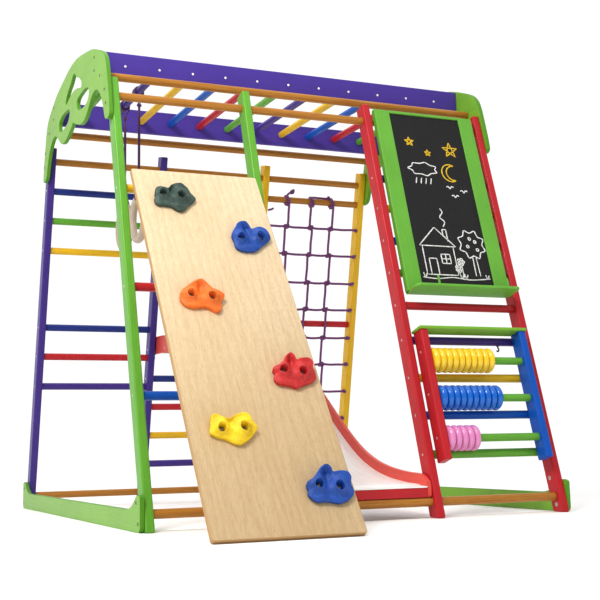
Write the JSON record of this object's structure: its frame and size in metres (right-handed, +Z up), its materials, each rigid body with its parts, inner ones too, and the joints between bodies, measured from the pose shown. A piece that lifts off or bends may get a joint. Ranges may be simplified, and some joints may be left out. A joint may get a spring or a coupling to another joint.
{
  "type": "kids indoor gym",
  "caption": "Free-standing A-frame indoor climbing gym with ladders, monkey bars, hanging rings, climbing board, slide, chalkboard, abacus and rope net.",
  "frame": {"origin": "middle of the footprint, on the floor, with the climbing board leaning out in front", "axes": "+X along the row of ladders, +Y from the climbing-board side to the back, +Z up"},
  "size_m": [1.318, 2.0078, 1.4897],
  "materials": {
    "beech_wood": "clear lacquer",
    "birch_plywood": "clear lacquer",
    "blue_resin": "moulded, fine texture",
    "blue_wood": "satin paint",
    "gold_wood": "satin lacquer",
    "green_plywood": "satin paint",
    "green_resin": "moulded, fine texture",
    "green_wood": "satin paint",
    "orange_resin": "moulded, fine texture",
    "pink_wood": "satin paint",
    "purple_plywood": "satin paint",
    "purple_rope": "twisted synthetic rope",
    "purple_wood": "satin paint",
    "red_plywood": "satin paint",
    "red_resin": "moulded, fine texture",
    "red_wood": "satin paint",
    "white_laminate": "smooth laminate",
    "yellow_resin": "moulded, fine texture",
    "yellow_wood": "satin paint"
  },
  "bodies": {
    "frame": {"abacus_frame": "red_wood", "arch_plate_left": "green_plywood", "arch_plate_right": "green_plywood", "arch_rod_front": "gold_wood", "arch_rod_rear": "gold_wood", "base_plate_left": "green_plywood", "base_plate_right": "green_plywood", "beam_front": "purple_plywood", "beam_rear": "purple_plywood", "chalkboard": "green_plywood", "front_rung_blue": "blue_wood", "front_rung_red": "red_wood", "front_rung_yellow": "yellow_wood", "green_post_left": "green_wood", "green_post_middle": "green_wood", "monkey_bar_01": "green_wood", "monkey_bar_02": "purple_wood", "monkey_bar_03": "yellow_wood", "monkey_bar_04": "blue_wood", "monkey_bar_05": "red_wood", "monkey_bar_06": "green_wood", "monkey_bar_07": "purple_wood", "monkey_bar_08": "yellow_wood", "monkey_bar_09": "blue_wood", "monkey_bar_10": "red_wood", "monkey_bar_11": "green_wood", "net_bay_rung_red": "red_wood", "net_rod": "gold_wood", "purple_ladder": "purple_wood", "rear_rung_blue": "blue_wood", "rear_rung_green": "green_wood", "rear_rung_purple": "purple_wood", "rear_rung_red": "red_wood", "rear_rung_yellow": "yellow_wood", "red_ladder": "red_wood", "rope_net": "purple_rope", "tie_rod_front_bottom": "gold_wood", "tie_rod_front_top": "gold_wood", "tie_rod_rear_bottom": "gold_wood", "tie_rod_rear_top": "gold_wood", "yellow_post_inner": "yellow_wood", "yellow_post_right": "yellow_wood"},
    "climbing_board": {"climbing_board": "birch_plywood", "hold_blue_lower": "blue_resin", "hold_blue_upper": "blue_resin", "hold_green": "green_resin", "hold_orange": "orange_resin", "hold_red": "red_resin", "hold_yellow": "yellow_resin"},
    "slide": {"slide_rail_left": "red_plywood", "slide_rail_right": "red_plywood", "slide_sheet": "white_laminate", "slide_toe_board": "red_plywood"},
    "rope_1": {"ring_rope_1": "purple_rope"},
    "ring_1": {"ring_1": "beech_wood"},
    "rope_2": {"ring_rope_2": "purple_rope"},
    "ring_2": {"ring_2": "beech_wood"},
    "beads_yellow": {"beads_yellow": "yellow_wood"},
    "beads_blue": {"beads_blue": "blue_wood"},
    "beads_pink": {"beads_pink": "pink_wood"}
  },
  "joints": [
    {"name": "climbing_board_lift", "type": "hinge", "parent": "frame", "child": "climbing_board", "pos_m": [-0.4225, -0.27134, 0.95147], "axis": [-1, 0, 0], "range_deg": [0, 35]},
    {"name": "slide_lift", "type": "hinge", "parent": "frame", "child": "slide", "pos_m": [0, 0.84807, 0.58136], "axis": [-1, 0, 0], "range_deg": [0, 25]},
    {"name": "ring_rope_1_swing", "type": "hinge", "parent": "frame", "child": "rope_1", "pos_m": [-0.44992, 0.18287, 1.39425], "axis": [0, 1, 0], "range_deg": [-40, 40]},
    {"name": "ring_1_turn", "type": "hinge", "parent": "rope_1", "child": "ring_1", "pos_m": [-0.44992, 0.18287, 1.03058], "axis": [0, 1, 0], "range_deg": [-45, 45]},
    {"name": "ring_rope_2_swing", "type": "hinge", "parent": "frame", "child": "rope_2", "pos_m": [-0.44992, 0.35778, 1.39425], "axis": [0, 1, 0], "range_deg": [-40, 40]},
    {"name": "ring_2_turn", "type": "hinge", "parent": "rope_2", "child": "ring_2", "pos_m": [-0.44992, 0.35778, 1.03058], "axis": [0, 1, 0], "range_deg": [-45, 45]},
    {"name": "beads_yellow_slide", "type": "slide", "parent": "frame", "child": "beads_yellow", "axis": [1, 0, 0], "range_m": [0, 0.11082]},
    {"name": "beads_blue_slide", "type": "slide", "parent": "frame", "child": "beads_blue", "axis": [1, 0, 0], "range_m": [0, 0.11082]},
    {"name": "beads_pink_slide", "type": "slide", "parent": "frame", "child": "beads_pink", "axis": [1, 0, 0], "range_m": [0, 0.21632]}
  ]
}
